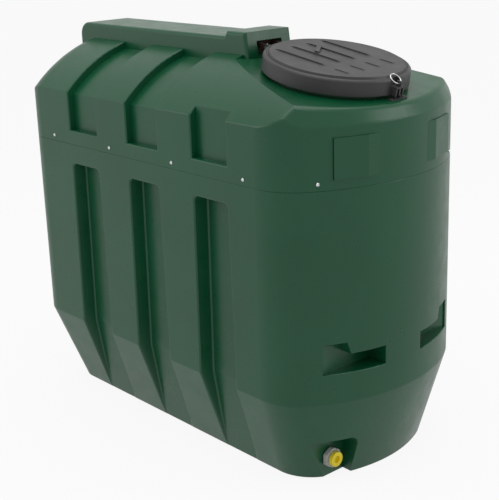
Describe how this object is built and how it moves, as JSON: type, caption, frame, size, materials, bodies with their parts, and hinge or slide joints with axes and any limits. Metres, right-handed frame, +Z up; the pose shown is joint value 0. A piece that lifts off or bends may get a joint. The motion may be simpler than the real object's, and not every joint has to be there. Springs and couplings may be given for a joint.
{
  "type": "bunded oil storage tank",
  "caption": "Slimline double-skin heating oil tank: green moulded bund with slotted walls, arched roof and ridge, hinged round manway lid and plugged bottom outlet.",
  "frame": {"origin": "middle of the bounding box at ground level", "axes": "+X towards the curved front with the lid and the outlet, +Y to the far long side, +Z up"},
  "size_m": [1.564, 0.8286, 1.421],
  "materials": {
    "shell_green": "moulded polyethylene, deep green",
    "vessel_plastic": "moulded polyethylene, near black",
    "lid_plastic": "dark grey plastic",
    "rubber": "black rubber",
    "hinge_metal": "dark painted steel",
    "steel": "plain steel",
    "bright_steel": "bright plated steel",
    "fitting_grey": "light grey plastic",
    "plug_yellow": "yellow plastic",
    "brass": "plain brass",
    "sensor_plastic": "charcoal plastic"
  },
  "bodies": {
    "tank": {"outer_bund": "shell_green", "top_cover": "shell_green", "inner_tank": "vessel_plastic", "lid_seal": "rubber", "hinge_bracket": "hinge_metal", "hinge_pin": "steel", "pin_clip": "steel", "hinge_screws": "steel", "lock_staple": "lid_plastic", "staple_screws": "steel", "cover_screws": "bright_steel", "outlet_body": "fitting_grey", "outlet_inner_gasket": "rubber", "outlet_inner_nut": "fitting_grey", "outlet_outer_gasket": "rubber", "outlet_nut": "fitting_grey", "outlet_strainer": "steel", "fill_gasket": "rubber", "fill_body": "brass", "vent_body": "fitting_grey", "vent_hood": "lid_plastic", "sensor_gasket": "rubber", "level_sensor": "sensor_plastic"},
    "lid": {"manway_lid": "lid_plastic"},
    "ring": {"lock_ring": "bright_steel"},
    "plug_washer": {"outlet_plug_seal": "rubber"},
    "plug": {"outlet_plug": "plug_yellow"},
    "fill_washer": {"fill_cap_seal": "rubber"},
    "fill_cap": {"fill_cap": "lid_plastic"},
    "hatch_washer": {"inspection_seal": "rubber"},
    "hatch_cap": {"inspection_cap": "lid_plastic"}
  },
  "joints": [
    {"name": "lid_hinge", "type": "hinge", "parent": "tank", "child": "lid", "pos_m": [0.22887, -0.03336, 1.36677], "axis": [0.0857, -0.9962, -0.0159], "range_deg": [0, 80]},
    {"name": "ring_swing", "type": "hinge", "parent": "lid", "child": "ring", "pos_m": [0.73881, 0.01179, 1.28649], "axis": [-0.0857, 0.9962, 0.0159], "range_deg": [0, 150]},
    {"name": "plug_travel", "type": "slide", "parent": "tank", "child": "plug_washer", "axis": [1, 0, 0], "range_m": [0, 0.01616]},
    {"name": "plug_turn", "type": "hinge", "parent": "plug_washer", "child": "plug", "pos_m": [0.67, -0.21, 0.069], "axis": [1, 0, 0], "range_deg": [0, 2520]},
    {"name": "fill_cap_travel", "type": "slide", "parent": "tank", "child": "fill_washer", "axis": [0.1822, 0, 0.9833], "range_m": [0, 0.016]},
    {"name": "fill_cap_turn", "type": "hinge", "parent": "fill_washer", "child": "fill_cap", "pos_m": [0.40047, -0.09125, 1.20173], "axis": [0.1822, 0, 0.9833], "range_deg": [0, 1440]},
    {"name": "hatch_cap_travel", "type": "slide", "parent": "tank", "child": "hatch_washer", "axis": [0.1822, 0, 0.9833], "range_m": [0, 0.012]},
    {"name": "hatch_cap_turn", "type": "hinge", "parent": "hatch_washer", "child": "hatch_cap", "pos_m": [0.41099, 0.07331, 1.19978], "axis": [0.1822, 0, 0.9833], "range_deg": [0, 720]}
  ],
  "couplings": [
    {"joint": "plug_travel", "follows": "plug_turn", "m_per_rad": 0.00036749},
    {"joint": "fill_cap_travel", "follows": "fill_cap_turn", "m_per_rad": 0.00063662},
    {"joint": "hatch_cap_travel", "follows": "hatch_cap_turn", "m_per_rad": 0.00095493}
  ]
}
